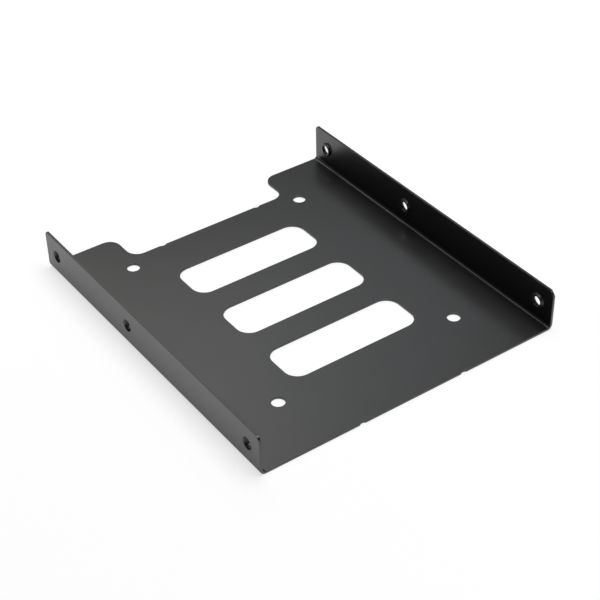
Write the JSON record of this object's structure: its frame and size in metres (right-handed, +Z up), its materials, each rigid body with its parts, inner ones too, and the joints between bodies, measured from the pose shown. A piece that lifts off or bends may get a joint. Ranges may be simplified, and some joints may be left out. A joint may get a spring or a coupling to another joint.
{
  "type": "drive bay adapter bracket",
  "caption": "Folded sheet-metal tray with upright side flanges, a slotted base and a rear cut-out, which carries a small storage drive in a larger drive bay.",
  "frame": {"origin": "on the underside of the base, in the middle of the footprint", "axes": "+X across the bracket, +Y along the flanges towards the rear cut-out, +Z up, the way the flanges stand"},
  "size_m": [0.101, 0.1134, 0.0132],
  "materials": {
    "black_coated_steel": "satin"
  },
  "bodies": {
    "root": {"drive_bay_bracket": "black_coated_steel"}
  },
  "joints": []
}
